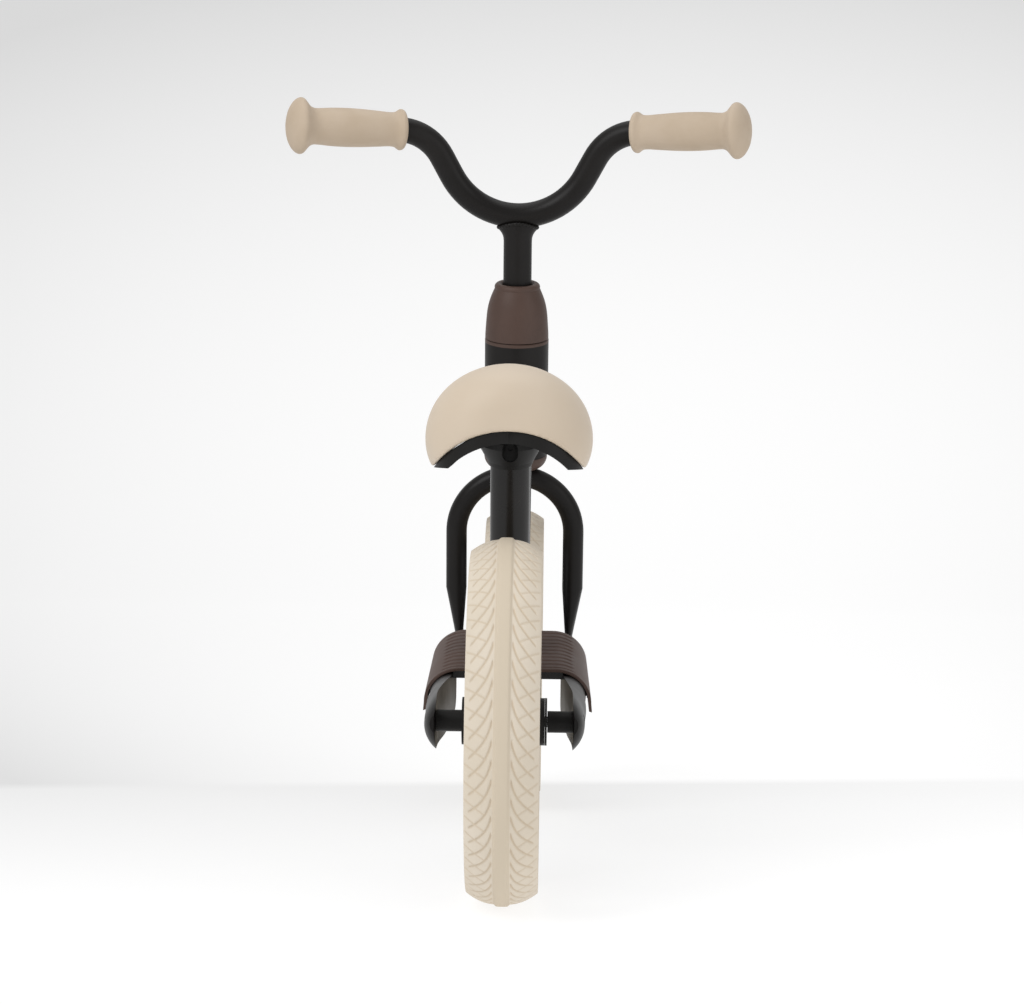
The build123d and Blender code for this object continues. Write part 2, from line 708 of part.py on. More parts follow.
# Saddle sections: y, share of the full half-width, share of the full height.
SADDLE_SECTIONS = (
    (-266.0, 0.30, 0.40),
    (-264.5, 0.44, 0.56),
    (-260.5, 0.60, 0.71),
    (-253.0, 0.77, 0.84),
    (-240.0, 0.92, 0.95),
    (-215.0, 1.00, 1.00),
    (-182.0, 0.95, 0.99),
    (-147.0, 0.78, 0.96),
    (-112.0, 0.58, 0.935),
    (-78.0, 0.45, 0.92),
    (-54.0, 0.38, 0.87),
    (-42.0, 0.30, 0.74),
    (-38.0, 0.20, 0.56),
)
CROWN_BELOW = 30.0
CROWN_STEPS = 8
ARCH_RADIUS = (ARCH_HALF**2 + ARCH_RISE**2) / (2 * ARCH_RISE)
ARCH_CENTRE_Z = ARCH_FOOT_Z + ARCH_RISE - ARCH_RADIUS
SADDLE_REACH = (SADDLE_SECTIONS[0][0] - 10, SADDLE_SECTIONS[-1][0] + 10)


def crown_points(wide, tall):
    """Points on the elliptical crown of a saddle section, from its right edge to its left."""
    points = []
    for step in range(CROWN_STEPS + 1):
        turn = radians(-CROWN_BELOW + step * (180 + 2 * CROWN_BELOW) / CROWN_STEPS)
        points.append(
            (SADDLE_HALF * wide * cos(turn), SADDLE_CENTRE_Z + SADDLE_HEIGHT * tall * sin(turn))
        )
    return points


def arch_rod(radius, low_y, high_y, mode=Mode.ADD):
    """A round bar along Y whose upper side is the arch under the saddle."""
    with BuildSketch(across(high_y)) as ring:
        with Locations((0, ARCH_CENTRE_Z)):
            Circle(radius)
    extrude(ring.sketch, amount=high_y - low_y, mode=mode)


with BuildPart() as saddle_cushion:
    for cut_y, wide, tall in SADDLE_SECTIONS:
        crown = crown_points(wide, tall)
        with BuildSketch(across(cut_y)):
            with BuildLine():
                Spline(*crown)
                Line(crown[-1], crown[0])
            make_face()
    loft()
    arch_rod(ARCH_RADIUS, *SADDLE_REACH, mode=Mode.SUBTRACT)
save(saddle_cushion, "saddle_cushion")

SHELL_GAP = 0.4
SHELL_THICK = 9.0
SHELL_INSET = 6.5
SHELL_REAR = -259.0
SHELL_FRONT = -50.0
SHELL_FOOT_Z = ARCH_FOOT_Z + 0.6
CONE_TOP = SOCKET_FOOT + 24
with BuildPart() as saddle_cone:
    turned(
        [
            (0, SOCKET_FOOT),
            (POST_RADIUS + 1.6, SOCKET_FOOT),
            (POST_RADIUS + 3.0, SOCKET_FOOT + 4),
            (POST_RADIUS + 11.0, SOCKET_FOOT + 19),
            (POST_RADIUS + 11.0, CONE_TOP),
            (0, CONE_TOP),
        ],
        SEAT_SIDE,
        SEAT_AXIS,
    )
    arch_rod(ARCH_RADIUS - SHELL_GAP, *SADDLE_REACH, mode=Mode.INTERSECT)

SHELL_EDGE = [
    (SADDLE_HALF * wide - SHELL_INSET, cut_y) for cut_y, wide, _ in SADDLE_SECTIONS[2:-2]
]
with BuildPart() as saddle_shell:
    with BuildSketch(Plane.XY.offset(SHELL_FOOT_Z)):
        with BuildLine():
            Spline((0, SHELL_REAR), *SHELL_EDGE[1:], (0, SHELL_FRONT))
            Spline(
                (0, SHELL_REAR),
                *[(-edge_x, edge_y) for edge_x, edge_y in SHELL_EDGE[1:]],
                (0, SHELL_FRONT),
            )
        make_face()
    extrude(amount=40)
    arch_rod(ARCH_RADIUS - SHELL_GAP, *SADDLE_REACH, mode=Mode.INTERSECT)
    arch_rod(ARCH_RADIUS - SHELL_GAP - SHELL_THICK, *SADDLE_REACH, mode=Mode.SUBTRACT)
    add(saddle_cone.part)
    tube(SEAT, SOCKET_FOOT - 5, POST_TOP, POST_RADIUS, mode=Mode.SUBTRACT)
    pocket_y = SEAT_FOOT_Y - (SOCKET_FOOT + 8) * sin(radians(SEAT_LEAN)) - POST_RADIUS - 2.2
    with BuildSketch(across(pocket_y)):
        with Locations((0, 336)):
            SlotOverall(16, 12.4, rotation=90)
    extrude(amount=14, mode=Mode.SUBTRACT)
save(saddle_shell, "saddle_shell")

with BuildPart() as saddle_bolt:
    with BuildSketch(across(pocket_y)):
        with Locations((0, 338.5)):
            Circle(4.0)
            RegularPolygon(2.0, 6, mode=Mode.SUBTRACT)
    extrude(amount=2)
save(saddle_bolt, "saddle_bolt")
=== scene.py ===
import json
import math

import bmesh
import bpy
import numpy as np
from mathutils import Matrix, Vector


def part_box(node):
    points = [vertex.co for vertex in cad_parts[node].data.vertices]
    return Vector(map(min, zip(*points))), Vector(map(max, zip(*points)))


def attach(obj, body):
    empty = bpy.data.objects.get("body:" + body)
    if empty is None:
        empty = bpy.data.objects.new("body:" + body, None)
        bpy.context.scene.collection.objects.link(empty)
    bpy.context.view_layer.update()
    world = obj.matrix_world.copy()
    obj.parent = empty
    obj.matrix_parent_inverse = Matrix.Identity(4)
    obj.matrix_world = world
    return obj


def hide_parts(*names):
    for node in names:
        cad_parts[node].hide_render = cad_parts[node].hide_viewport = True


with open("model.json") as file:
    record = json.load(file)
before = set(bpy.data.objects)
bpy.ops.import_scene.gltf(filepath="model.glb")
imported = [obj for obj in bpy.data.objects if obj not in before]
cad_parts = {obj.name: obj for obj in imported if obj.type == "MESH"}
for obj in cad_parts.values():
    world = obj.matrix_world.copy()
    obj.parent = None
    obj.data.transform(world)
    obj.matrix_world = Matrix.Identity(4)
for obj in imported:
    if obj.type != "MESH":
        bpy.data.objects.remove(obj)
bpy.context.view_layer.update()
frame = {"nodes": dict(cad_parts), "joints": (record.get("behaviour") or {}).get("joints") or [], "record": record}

MM = 0.001

# ---- where things are, read from the frame ---------------------------------------------
JOINTS = {joint["name"]: joint for joint in frame["joints"]}
STEER_POINT = Vector(JOINTS["steering"]["pos_m"])
STEER_UP = Vector(JOINTS["steering"]["axis"]).normalized()


def centre(node):
    low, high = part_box(node)
    return (low + high) / 2


REAR_HUB = centre("rear_tyre")
FRONT_HUB = centre("front_tyre")
WHEEL_RADIUS = (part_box("rear_tyre")[1].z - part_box("rear_tyre")[0].z) / 2


# ---- camera ----------------------------------------------------------------------------
CAMERA_SIDE = 0.03073
CAMERA_BEHIND = 2.0908
CAMERA_HEIGHT = 0.387
CAMERA_YAW = -0.747
CAMERA_PITCH = 2.338
CAMERA_ROLL = 0.743
LENS_MM = 98.7
SENSOR_MM = 36


def make_camera():
    """Behind the bike and a little above the axle, nearly level, with a slight roll."""
    place = Vector((CAMERA_SIDE, REAR_HUB.y - CAMERA_BEHIND, CAMERA_HEIGHT))
    yaw, pitch, roll = (math.radians(a) for a in (CAMERA_YAW, CAMERA_PITCH, CAMERA_ROLL))
    forward = Vector(
        (
            math.sin(yaw) * math.cos(pitch),
            math.cos(yaw) * math.cos(pitch),
            -math.sin(pitch),
        )
    )
    level_right = Vector((math.cos(yaw), -math.sin(yaw), 0))
    level_up = level_right.cross(forward)
    right = math.cos(roll) * level_right + math.sin(roll) * level_up
    up = -math.sin(roll) * level_right + math.cos(roll) * level_up
    data = bpy.data.cameras.new("camera")
    data.lens = LENS_MM
    data.sensor_width = SENSOR_MM
    camera = bpy.data.objects.new("camera", data)
    turn = Matrix((right, up, -forward)).transposed()
    camera.matrix_world = Matrix.Translation(place) @ turn.to_4x4()
    bpy.context.scene.collection.objects.link(camera)
    bpy.context.scene.camera = camera


# ---- mesh helpers ------------------------------------------------------------------------
def new_object(name, points, faces, smooth=True):
    """A mesh object from points and faces, linked into the scene."""
    mesh = bpy.data.meshes.new(name)
    mesh.from_pydata([tuple(p) for p in points], [], [tuple(f) for f in faces])
    mesh.validate()
    mesh.update()
    if smooth:
        mesh.shade_smooth()
    obj = bpy.data.objects.new(name, mesh)
    bpy.context.scene.collection.objects.link(obj)
    return obj


def grid_faces(rows, columns, close_rows=False, close_columns=False, flip=False):
    """Quads of a grid of points stored row by row."""
    faces = []
    for i in range(rows if close_rows else rows - 1):
        for j in range(columns if close_columns else columns - 1):
            a = i * columns + j
            b = i * columns + (j + 1) % columns
            c = ((i + 1) % rows) * columns + (j + 1) % columns
            d = ((i + 1) % rows) * columns + j
            faces.append((a, d, c, b) if flip else (a, b, c, d))
    return faces


def fix_normals(obj):
    """Merge points that coincide and turn every face outwards."""
    work = bmesh.new()
    work.from_mesh(obj.data)
    bmesh.ops.remove_doubles(work, verts=work.verts, dist=1e-6)
    bmesh.ops.recalc_face_normals(work, faces=work.faces)
    work.to_mesh(obj.data)
    work.free()
    return obj


def sharpen(obj, degrees=35):
    """Smooth shading that breaks at edges sharper than the angle."""
    obj.data.shade_smooth()
    obj.data.set_sharp_from_angle(angle=math.radians(degrees))
    return obj


def axis_basis(direction):
    """Two unit vectors square to a direction."""
    direction = Vector(direction).normalized()
    side = Vector((1, 0, 0))
    if abs(direction.dot(side)) > 0.9:
        side = Vector((0, 1, 0))
    first = (side - direction * side.dot(direction)).normalized()
    return first, direction.cross(first)


def lathe(name, profile, origin, direction, segments=96):
    """Turn (radius, height) points, in metres, about an axis; ends on the axis close up."""
    first, second = axis_basis(direction)
    along = Vector(direction).normalized()
    points = []
    for radius, height in profile:
        for k in range(segments):
            turn = 2 * math.pi * k / segments
            offset = math.cos(turn) * first + math.sin(turn) * second
            points.append(Vector(origin) + along * height + offset * radius)
    faces = grid_faces(len(profile), segments, close_columns=True)
    obj = new_object(name, points, faces)
    return fix_normals(obj)


def smooth_curve(knots, samples):
    """A smooth open curve through 2-D or 3-D knots, by centripetal Catmull-Rom pieces."""
    knots = np.array(knots, float)
    steps = np.linalg.norm(np.diff(knots, axis=0), axis=1) ** 0.5
    place = np.concatenate([[0], np.cumsum(steps)])
    slopes = np.gradient(knots, place, axis=0)
    found = []
    for t in np.linspace(0, place[-1], samples):
        k = min(np.searchsorted(place, t, side="right") - 1, len(knots) - 2)
        h = place[k + 1] - place[k]
        u = (t - place[k]) / h
        found.append(
            (2 * u**3 - 3 * u**2 + 1) * knots[k]
            + (u**3 - 2 * u**2 + u) * h * slopes[k]
            + (3 * u**2 - 2 * u**3) * knots[k + 1]
            + (u**3 - u**2) * h * slopes[k + 1]
        )
    return np.array(found)


# ---- materials -----------------------------------------------------------------------------
def srgb(red, green, blue):
    """A linear colour from screen values of 0 to 255."""
    values = [c / 255 for c in (red, green, blue)]
    linear = [c / 12.92 if c <= 0.04045 else ((c + 0.055) / 1.055) ** 2.4 for c in values]
    return (*linear, 1.0)


class Surface:
    """A material being built: one Principled shader with object-space textures."""

    def __init__(self, name, **sockets):
        self.material = bpy.data.materials.new(name)
        self.material.use_nodes = True
        self.nodes = self.material.node_tree.nodes
        self.links = self.material.node_tree.links
        self.shader = self.nodes["Principled BSDF"]
        self.coordinates = self.nodes.new("ShaderNodeTexCoord")
        for socket, value in sockets.items():
            self.shader.inputs[socket.replace("_", " ")].default_value = value
        self.height = None

    def noise(self, scale, detail=3.0, roughness=0.55, stretch=(1, 1, 1)):
        spread = self.nodes.new("ShaderNodeMapping")
        spread.inputs["Scale"].default_value = stretch
        self.links.new(self.coordinates.outputs["Object"], spread.inputs["Vector"])
        texture = self.nodes.new("ShaderNodeTexNoise")
        texture.inputs["Scale"].default_value = scale
        texture.inputs["Detail"].default_value = detail
        texture.inputs["Roughness"].default_value = roughness
        self.links.new(spread.outputs["Vector"], texture.inputs["Vector"])
        return texture.outputs["Fac"]

    def cells(self, scale, feature="F1"):
        texture = self.nodes.new("ShaderNodeTexVoronoi")
        texture.feature = feature
        texture.inputs["Scale"].default_value = scale
        self.links.new(self.coordinates.outputs["Object"], texture.inputs["Vector"])
        return texture.outputs["Distance"]

    def attribute(self, name):
        node = self.nodes.new("ShaderNodeAttribute")
        node.attribute_name = name
        return node.outputs["Fac"]

    def ramp(self, source, low, high, from_low=0.0, from_high=1.0):
        node = self.nodes.new("ShaderNodeMapRange")
        node.inputs["From Min"].default_value = from_low
        node.inputs["From Max"].default_value = from_high
        node.inputs["To Min"].default_value = low
        node.inputs["To Max"].default_value = high
        self.links.new(source, node.inputs["Value"])
        return node.outputs["Result"]

    def mix(self, factor, first, second):
        """Mix two colours, each a colour value or a socket."""
        node = self.nodes.new("ShaderNodeMix")
        node.data_type = "RGBA"
        self.links.new(factor, node.inputs["Factor"])
        for socket, value in ((node.inputs[6], first), (node.inputs[7], second)):
            if isinstance(value, tuple):
                socket.default_value = value
            else:
                self.links.new(value, socket)
        return node.outputs[2]

    def colour(self, source):
        self.links.new(source, self.shader.inputs["Base Color"])

    def gloss(self, source):
        self.links.new(source, self.shader.inputs["Roughness"])

    def bump(self, source, distance, strength=1.0):
        """Add a layer of bump; distance is in metres."""
        node = self.nodes.new("ShaderNodeBump")
        node.inputs["Strength"].default_value = strength
        node.inputs["Distance"].default_value = distance
        self.links.new(source, node.inputs["Height"])
        if self.height:
            self.links.new(self.height, node.inputs["Normal"])
        self.height = node.outputs["Normal"]
        self.links.new(self.height, self.shader.inputs["Normal"])


def paint(name, base, rough_low, rough_high, shine):
    """Black powder coat: orange peel, uneven gloss and a trace of dust."""
    surface = Surface(name, Specular_IOR_Level=shine)
    broad = surface.noise(14, 4)
    fine = surface.noise(420, 2)
    dusty = tuple(c * 1.6 + 0.001 for c in base[:3]) + (1.0,)
    surface.colour(surface.mix(surface.ramp(broad, 0.0, 1.0, 0.45, 0.75), base, dusty))
    surface.gloss(surface.ramp(broad, rough_low, rough_high, 0.3, 0.7))
    surface.bump(fine, 0.00010, 0.3)
    return surface.material


def moulded(name, base, rough, shine, grain=1500, depth=0.00008, shift=1.25):
    """Satin moulded plastic with a fine spark-eroded grain and faint flow marks."""
    surface = Surface(name, Specular_IOR_Level=shine)
    broad = surface.noise(22, 5)
    lighter = tuple(min(1.0, c * shift) for c in base[:3]) + (1.0,)
    surface.colour(surface.mix(surface.ramp(broad, 0.0, 1.0, 0.35, 0.7), base, lighter))
    surface.gloss(surface.ramp(broad, rough - 0.05, rough + 0.06, 0.3, 0.7))
    surface.bump(surface.noise(grain, 2), depth, 0.5)
    return surface.material


def cream_skin():
    """The saddle's smooth integral skin: faint pores and slight mottling."""
    surface = Surface("saddle_skin", Specular_IOR_Level=0.35, Sheen_Weight=0.08)
    base, warm = srgb(206, 191, 172), srgb(199, 182, 160)
    surface.colour(surface.mix(surface.ramp(surface.noise(9, 5), 0.0, 0.6, 0.35, 0.7), base, warm))
    surface.gloss(surface.ramp(surface.noise(40, 3), 0.47, 0.58, 0.3, 0.7))
    surface.bump(surface.noise(700, 3), 0.00010, 0.4)
    surface.bump(surface.cells(1300), 0.00005, 0.35)
    return surface.material


def grip_rubber():
    surface = Surface("grip_rubber", Specular_IOR_Level=0.3)
    base, grey = srgb(192, 175, 155), srgb(182, 164, 142)
    surface.colour(surface.mix(surface.ramp(surface.noise(30, 5), 0.0, 0.7, 0.35, 0.7), base, grey))
    surface.gloss(surface.ramp(surface.noise(60, 3), 0.58, 0.72, 0.3, 0.7))
    surface.bump(surface.noise(1100, 3), 0.00012, 0.5)
    return surface.material


def foam_tyre():
    """Matt foam rubber with painted shade: darker down in the tread grooves and a little darker on the centre rib.
    """
    surface = Surface("foam_tyre", Specular_IOR_Level=0.25)
    base, warm = srgb(219, 208, 192), srgb(211, 199, 180)
    # deep is painted shade for the groove bottoms.
    # rib is painted shade for the centre rib, which the side lights leave darker.
    rib, deep = srgb(207, 194, 174), srgb(202, 186, 163)
    flat = surface.mix(surface.ramp(surface.noise(16, 5), 0.0, 0.8, 0.35, 0.7), base, warm)
    # Painted shade: the centre rib darker than the tread beside it.
    ribbed = surface.mix(surface.attribute("rib"), flat, rib)
    # Painted shade: darker down in the grooves, by how deep each is cut.
    surface.colour(surface.mix(surface.attribute("groove"), ribbed, deep))
    surface.gloss(surface.ramp(surface.noise(80, 3), 0.72, 0.85, 0.3, 0.7))
    surface.bump(surface.noise(900, 3), 0.00014, 0.5)
    return surface.material


def metal(name, base, rough, brushed=(1, 1, 1)):
    surface = Surface(name, Metallic=1.0)
    broad = surface.noise(60, 4)
    darker = tuple(c * 0.75 for c in base[:3]) + (1.0,)
    surface.colour(surface.mix(surface.ramp(broad, 0.0, 1.0, 0.4, 0.8), base, darker))
    surface.gloss(surface.ramp(broad, rough - 0.06, rough + 0.1, 0.3, 0.7))
    surface.bump(surface.noise(900, 2, stretch=brushed), 0.00006, 0.4)
    return surface.material


def make_materials():
    black = srgb(21, 19, 18)
    return {
        "black_paint": paint("black_paint", black, 0.36, 0.48, 0.19),
        "gloss_paint": paint("gloss_paint", black, 0.2, 0.3, 0.3),
        "brown_plastic": moulded("brown_plastic", srgb(73, 56, 49), 0.5, shine=0.3),
        "black_plastic": moulded("black_plastic", srgb(23, 22, 21), 0.46, shine=0.2),
        "cream_tyre": foam_tyre(),
        "cream_rubber": grip_rubber(),
        "cream_skin": cream_skin(),
        "steel": metal("steel", (0.56, 0.57, 0.58, 1.0), 0.3, (1, 8, 8)),
        "plated_bolts": metal("plated_bolts", (0.42, 0.42, 0.41, 1.0), 0.34),
        "alloy": metal("alloy", (0.66, 0.67, 0.68, 1.0), 0.35),
    }


MATERIALS = make_materials()
GLOSSY_NODES = ("seat_post", "seat_tube", "deck_plate")


def dress(obj, slot_name, body):
    """Give a new piece the material of its slot, and attach it to its body."""
    obj.data.materials.clear()
    obj.data.materials.append(MATERIALS[slot_name])
    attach(obj, body)
    return obj


def paint_frame():
    """Every CAD node gets its slot's procedural material."""
    for part in frame["record"]["subparts"]:
        node = frame["nodes"][part["node"]]
        chosen = "gloss_paint" if part["node"] in GLOSSY_NODES else part["material_slot"]
        node.data.materials.clear()
        node.data.materials.append(MATERIALS[chosen])


# ---- tyres ---------------------------------------------------------------------------------
TREAD_REPEATS = 60
TREAD_STEPS = 16
RIB_TOP = 4.4 * MM
RIB_FOOT = 5.9 * MM
RIB_HEIGHT = 1.7 * MM
RIB_CROWN = 0.25 * MM
SHOULDER_DROP = 10.5 * MM
CROWN_BULGE = 1.9 * MM
CROWN_POINTS = 83
EDGE_INSET = 0.6 * MM
TYRE_INNER = 104 * MM
TYRE_BEAD_HALF = 19 * MM
GROOVE_HALF = 0.9 * MM
GROOVE_DEPTH = 0.75 * MM
LONG_GROOVE = (7.2 * MM, 22.4 * MM)
LONG_STEEP = 9.0 * MM
LONG_REACH = 3.0 * MM
LONG_SLOPE = 1.1
CROSS_GROOVE = (11.5 * MM, 25.5 * MM)
CROSS_SLOPE = 0.62
CROSS_SHARE = 0.7


def channel(distance):
    """Depth of a rounded channel at a distance from its middle, from 0 to 1."""
    return np.clip(1 - (distance / GROOVE_HALF) ** 2, 0, 1) ** 0.8


def tread_depth(x, along):
    """How deep the tread is cut at a sideways place and a distance round the tyre."""
    side = np.abs(x)
    pitch = 2 * math.pi * WHEEL_RADIUS / TREAD_REPEATS
    out = np.clip(side - LONG_GROOVE[0], 0, None)
    fall = LONG_SLOPE * out + LONG_STEEP * (1 - np.exp(-out / LONG_REACH))
    slope = LONG_SLOPE + LONG_STEEP / LONG_REACH * np.exp(-out / LONG_REACH)
    gap = (along + fall + pitch / 2) % pitch - pitch / 2
    overrun = np.maximum(LONG_GROOVE[0] - side, side - LONG_GROOVE[1]).clip(0)
    long_cut = channel(np.hypot(gap / np.sqrt(1 + slope**2), overrun))
    middle = (CROSS_GROOVE[0] + CROSS_GROOVE[1]) / 2
    middle_fall = LONG_SLOPE * (middle - LONG_GROOVE[0]) + LONG_STEEP
    gap = along + middle_fall - CROSS_SLOPE * (side - middle)
    gap = (gap + pitch / 2) % pitch - pitch / 2
    overrun = np.maximum(CROSS_GROOVE[0] - side, side - CROSS_GROOVE[1]).clip(0)
    cross_cut = CROSS_SHARE * channel(np.hypot(gap / math.sqrt(1 + CROSS_SLOPE**2), overrun))
    return np.maximum(long_cut, cross_cut)


def make_tyre(end, hub):
    """The whole tyre: ribbed, grooved crown, flat side walls and bead."""
    low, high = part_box(f"{end}_tyre")
    half = (high.x - low.x) / 2
    inner = TYRE_INNER
    shoulder = WHEEL_RADIUS - SHOULDER_DROP
    bead = min(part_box(f"{end}_rim")[1].x - hub.x, TYRE_BEAD_HALF)
    foot_radius = WHEEL_RADIUS - RIB_HEIGHT
    arc_drop = foot_radius - shoulder
    span = half - RIB_FOOT

    def crown(x):
        side = abs(x)
        if side <= RIB_TOP:
            return WHEEL_RADIUS - RIB_CROWN * (side / RIB_TOP) ** 4
        if side <= RIB_FOOT:
            share = (side - RIB_TOP) / (RIB_FOOT - RIB_TOP)
            return WHEEL_RADIUS - RIB_CROWN - (RIB_HEIGHT - RIB_CROWN) * share
        share = (side - RIB_FOOT) / span
        bulge = CROWN_BULGE * 4 * share * (1 - share)
        return foot_radius - arc_drop * share + bulge

    across = list(np.linspace(-half + EDGE_INSET, half - EDGE_INSET, CROWN_POINTS))
    # Sideways place, radius, and whether the tread is cut there.
    profile = [(x, crown(x), 1) for x in across]
    edge = crown(across[-1])
    right = [
        (half - 0.15 * MM, edge - 0.5 * MM, 0),
        (half, edge - 1.4 * MM, 0),
        (half, shoulder - 8 * MM, 0),
        (half - 0.4 * MM, shoulder - 9 * MM, 0),
        (half - 0.4 * MM, inner + 9 * MM, 0),
        (half - 0.6 * MM, inner + 7 * MM, 0),
        (bead + 0.6 * MM, inner + 0.6 * MM, 0),
        (bead, inner, 0),
    ]
    left = [(-x, r, g) for x, r, g in right]
    profile = profile + right + left[::-1]
    x = np.array([p[0] for p in profile])
    radius = np.array([p[1] for p in profile])
    grooved = np.array([p[2] for p in profile])
    rows = TREAD_REPEATS * TREAD_STEPS
    points = np.zeros((rows, len(profile), 3))
    cuts = np.zeros((rows, len(profile)))
    for i in range(rows):
        turn = 2 * math.pi * i / rows
        depth = grooved * tread_depth(x, -turn * WHEEL_RADIUS)
        reach = radius - GROOVE_DEPTH * depth
        points[i, :, 0] = hub.x + x
        points[i, :, 1] = hub.y + reach * math.cos(turn)
        points[i, :, 2] = hub.z + reach * math.sin(turn)
        cuts[i] = depth
    faces = grid_faces(rows, len(profile), close_rows=True, close_columns=True)
    obj = new_object(f"{end}_tyre_tread", points.reshape(-1, 3), faces)
    # The groove and rib marks drive the painted shade of the tyre material.
    ribs = np.tile(np.abs(x) < RIB_FOOT, rows)
    for name, values in (("groove", cuts.reshape(-1)), ("rib", ribs)):
        mark = obj.data.attributes.new(name, "FLOAT", "POINT")
        mark.data.foreach_set("value", values.astype(np.float32))
    sharpen(obj, 50)
    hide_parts(f"{end}_tyre")
    return dress(obj, "cream_tyre", f"{end}_wheel")


# ---- saddle --------------------------------------------------------------------------------
FOAM_VOXEL = 1.5 * MM
FOAM_EASE_STEPS = 16


def make_saddle():
    """The foam saddle: the plain solid remeshed finely and eased so every edge is rounded."""
    source = frame["nodes"]["saddle_cushion"]
    obj = bpy.data.objects.new("saddle_foam", source.data.copy())
    bpy.context.scene.collection.objects.link(obj)
    remesh = obj.modifiers.new("remesh", "REMESH")
    remesh.mode = "VOXEL"
    remesh.voxel_size = FOAM_VOXEL
    ease = obj.modifiers.new("ease", "SMOOTH")
    ease.factor = 0.5
    ease.iterations = FOAM_EASE_STEPS
    graph = bpy.context.evaluated_depsgraph_get()
    rounded = bpy.data.meshes.new_from_object(obj.evaluated_get(graph))
    obj.modifiers.clear()
    obj.data = rounded
    rounded.shade_smooth()
    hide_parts("saddle_cushion")
    dress(obj, "cream_skin", "saddle")
    return obj


# ---- grips ---------------------------------------------------------------------------------
GRIP_SWEEP = math.radians(18)
GRIP_INNER_X = 101.4 * MM
BAR_KNEE_X = 80.4 * MM
GRIP_BORE = 11.2
GRIP_POINTED = 0.02
# Outline in millimetres: distance outwards from the inner end, radius.
GRIP_OUTLINE = (
    (0.0, 15.4),
    (0.9, 17.0),
    (2.6, 18.0),
    (4.4, 18.0),
    (6.0, 17.0),
    (8.2, 15.6),
    (12.0, 15.0),
    (24.0, 15.7),
    (38.0, 16.6),
    (52.0, 17.0),
    (66.0, 16.7),
    (78.0, 15.9),
    (82.0, 16.0),
    (85.6, 17.6),
    (88.9, 21.2),
    (91.4, 23.9),
    (93.6, 24.7),
    (96.0, 24.2),
    (99.4, 21.6),
    (102.8, 16.4),
    (104.8, 10.5),
    (105.8, 5.0),
    (106.0, GRIP_POINTED),
)


def make_grip(side, node):
    """A turned rubber grip with an inner lip and a mushroom end."""
    low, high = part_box(node)
    direction = Vector((side * math.cos(GRIP_SWEEP), -math.sin(GRIP_SWEEP), 0))
    outline = smooth_curve(GRIP_OUTLINE, 120)
    profile = [(GRIP_BORE * MM, 0.3 * MM)]
    profile += [(max(radius, GRIP_POINTED) * MM, along * MM) for along, radius in outline]
    height = (low.z + high.z) / 2
    back = STEER_POINT.y + STEER_UP.y / STEER_UP.z * (height - STEER_POINT.z)
    back -= (GRIP_INNER_X - BAR_KNEE_X) * math.tan(GRIP_SWEEP)
    origin = Vector((side * GRIP_INNER_X, back, height))
    obj = lathe(f"{node}_rubber", profile, origin, direction, 120)
    sharpen(obj, 60)
    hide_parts(node)
    return dress(obj, "cream_rubber", "handlebar")


# ---- bar joint ------------------------------------------------------------------------------
# Rings about the steering axis: half width, half depth, height above the front hub.
COLLAR_FOOT = (12.8 * MM, 12.8 * MM, 394.0 * MM)
COLLAR_LIP = (17.8 * MM, 13.9 * MM, 404.4 * MM)
COLLAR_INSIDE = (12.0 * MM, 10.5 * MM, 405.0 * MM)
BEAD_RING = (17.2 * MM, 12.7 * MM, 405.6 * MM)
COLLAR_CURVE = 2.2
BEAD_RISE = 5.0 * MM
BEAD_RADIUS = 1.7 * MM
BEAD_RIPPLE = 0.16 * MM
BEAD_RIPPLES = 34


def make_weld():
    """The stem's mouth flared up round the bar, closed by a rippled weld bead."""
    sideways = Vector((1, 0, 0))
    backwards = STEER_UP.cross(sideways)

    def ring_point(ring, turn, rise=0.0):
        """A point of an oval ring about the steering axis, higher in front and behind."""
        wide, deep, high = ring
        lift = high + rise * math.sin(turn) ** 2
        offset = sideways * wide * math.cos(turn) + backwards * deep * math.sin(turn)
        return STEER_POINT + STEER_UP * lift + offset

    count = 6 * BEAD_RIPPLES
    turns = [2 * math.pi * k / count for k in range(count)]
    collar = []
    for turn in turns:
        foot = ring_point(COLLAR_FOOT, turn)
        lip = ring_point(COLLAR_LIP, turn, BEAD_RISE)
        for share in np.linspace(0, 1, 12):
            flare = foot.lerp(lip, share**COLLAR_CURVE)
            climb = (foot.lerp(lip, share) - flare).dot(STEER_UP)
            collar.append(flare + STEER_UP * climb)
        collar.append(ring_point(COLLAR_INSIDE, turn, BEAD_RISE))
        collar.append(ring_point((*COLLAR_INSIDE[:2], COLLAR_FOOT[2]), turn))
    section = len(collar) // len(turns)
    faces = grid_faces(len(turns), section, close_rows=True, close_columns=True)

    bead = []
    steps = 14
    for turn in turns:
        middle = ring_point(BEAD_RING, turn, BEAD_RISE)
        outward = middle - STEER_POINT
        outward = (outward - STEER_UP * outward.dot(STEER_UP)).normalized()
        radius = BEAD_RADIUS + BEAD_RIPPLE * math.cos(BEAD_RIPPLES * turn)
        for step in range(steps):
            around = 2 * math.pi * step / steps
            offset = math.cos(around) * outward + math.sin(around) * STEER_UP
            bead.append(middle + radius * offset)
    first = len(collar)
    bead_faces = grid_faces(len(turns), steps, close_rows=True, close_columns=True)
    faces += [tuple(first + k for k in face) for face in bead_faces]
    obj = fix_normals(new_object("bar_weld", collar + bead, faces))
    sharpen(obj, 50)
    return dress(obj, "black_paint", "handlebar")


